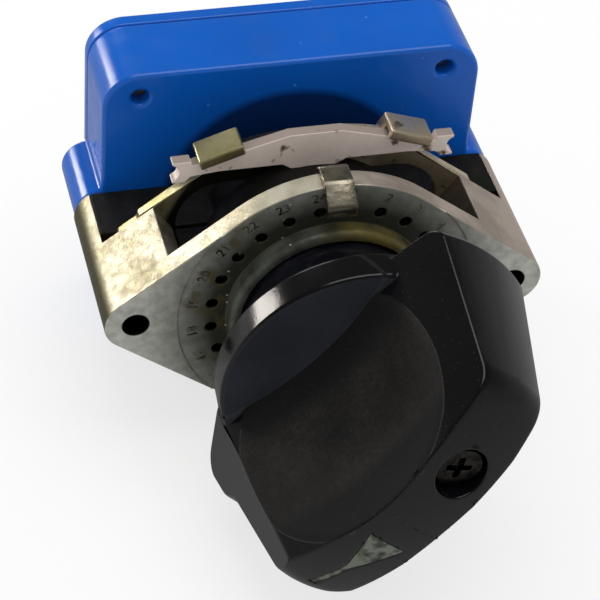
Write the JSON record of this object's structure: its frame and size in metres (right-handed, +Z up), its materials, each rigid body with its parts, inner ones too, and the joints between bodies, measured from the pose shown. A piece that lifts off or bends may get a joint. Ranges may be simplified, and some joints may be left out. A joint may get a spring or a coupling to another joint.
{
  "type": "rotary switch",
  "caption": "Panel-mounted rotary switch with a pistol-grip knob, a die-cast index frame on posts, a ball detent and a blue contact housing.",
  "frame": {"origin": "shaft axis in the front frame's front face, which lies against the panel", "axes": "+X through the right ear, +Y along the shaft into the panel, +Z up"},
  "size_m": [0.058, 0.0797, 0.0442],
  "materials": {
    "casting": "sandy cast zinc",
    "zinc_plate": "zinc plated",
    "chromate": "worn yellow chromate",
    "worn_steel": "worn, dull",
    "worn_steel_dark": "blackened, worn",
    "steel": "ground",
    "brass": "turned",
    "silvered_brass": "silvered",
    "blue_moulding": "glossy",
    "dark_moulding": "dusty",
    "phenolic": "laminate",
    "knob_black": "moulded, scratched and dusty",
    "neck_black": "glossy",
    "inlay_paint": "worn paint"
  },
  "bodies": {
    "frame": {"front_frame": "casting", "front_bushing": "brass", "rear_bushing": "brass", "rim_clip": "zinc_plate", "detent_block": "dark_moulding", "detent_spring_left": "steel", "detent_spring_right": "steel", "spring_plugs": "steel", "retaining_bar": "worn_steel", "strap_bracket": "chromate", "base_spacer": "dark_moulding", "housing": "blue_moulding", "rear_cover": "blue_moulding", "stator": "phenolic", "contact_studs": "silvered_brass", "common_ring": "brass", "cover_screws": "steel", "frame_screws": "steel"},
    "rotor": {"shaft": "steel", "star_wheel": "steel", "spacer_tube": "steel", "contact_rotor": "phenolic", "wiper": "brass", "thrust_washer": "steel", "retaining_ring": "steel", "knob": "knob_black", "knob_neck": "neck_black", "neck_screw": "steel", "knob_screw": "worn_steel_dark", "pointer_inlay": "inlay_paint"},
    "ball_left": {"detent_ball_left": "steel"},
    "ball_right": {"detent_ball_right": "steel"}
  },
  "joints": [
    {"name": "knob_turn", "type": "hinge", "parent": "frame", "child": "rotor", "pos_m": [0, 0, 0], "axis": [0, -1, 0], "continuous": true},
    {"name": "ball_left_push", "type": "slide", "parent": "frame", "child": "ball_left", "axis": [-1, 0, 0], "range_m": [0, 0.00052], "stiffness_N_per_m": 1000, "deforming": ["detent_spring_left"]},
    {"name": "ball_right_push", "type": "slide", "parent": "frame", "child": "ball_right", "axis": [1, 0, 0], "range_m": [0, 0.00052], "stiffness_N_per_m": 1000, "deforming": ["detent_spring_right"]}
  ]
}
